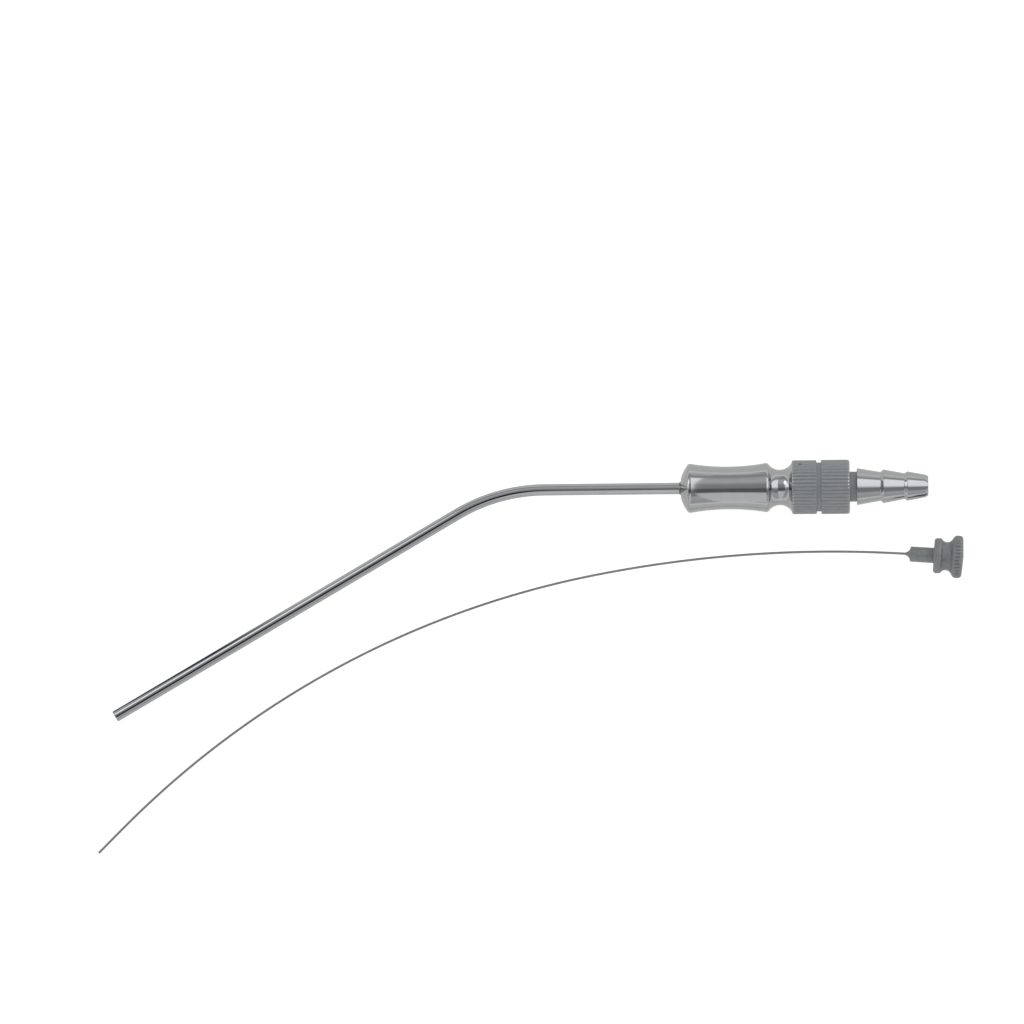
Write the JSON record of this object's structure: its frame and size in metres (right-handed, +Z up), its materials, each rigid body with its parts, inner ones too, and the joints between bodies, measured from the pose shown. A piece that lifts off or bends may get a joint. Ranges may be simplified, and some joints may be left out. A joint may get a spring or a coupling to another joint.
{
  "type": "suction tube",
  "caption": "Bent steel suction tube with a waisted knurled grip, screw-in hose connector and its clearing stylet laid beside it.",
  "frame": {"origin": "middle of the whole object's length and width, on the table under it", "axes": "+X towards the hose connector, parallel to the grip seen from above; +Y away from the side that the tube bends to; +Z up from the table"},
  "size_m": [0.2248, 0.1, 0.0142],
  "materials": {
    "polished_steel": "stainless steel turned and mirror polished, its knurled rings left matt",
    "blasted_steel": "stainless steel turned, knurled and bead blasted matt",
    "drawn_steel": "stainless steel wire, drawn and left plain",
    "silver_solder": "silver solder, as flowed",
    "ptfe": "PTFE, white and waxy"
  },
  "bodies": {
    "root": {"shaft_tube": "polished_steel", "handle_grip": "polished_steel", "solder_ring": "silver_solder", "seal_washer": "ptfe", "hose_connector": "polished_steel", "stylet_wire": "drawn_steel", "stylet_knob": "blasted_steel"}
  },
  "joints": []
}
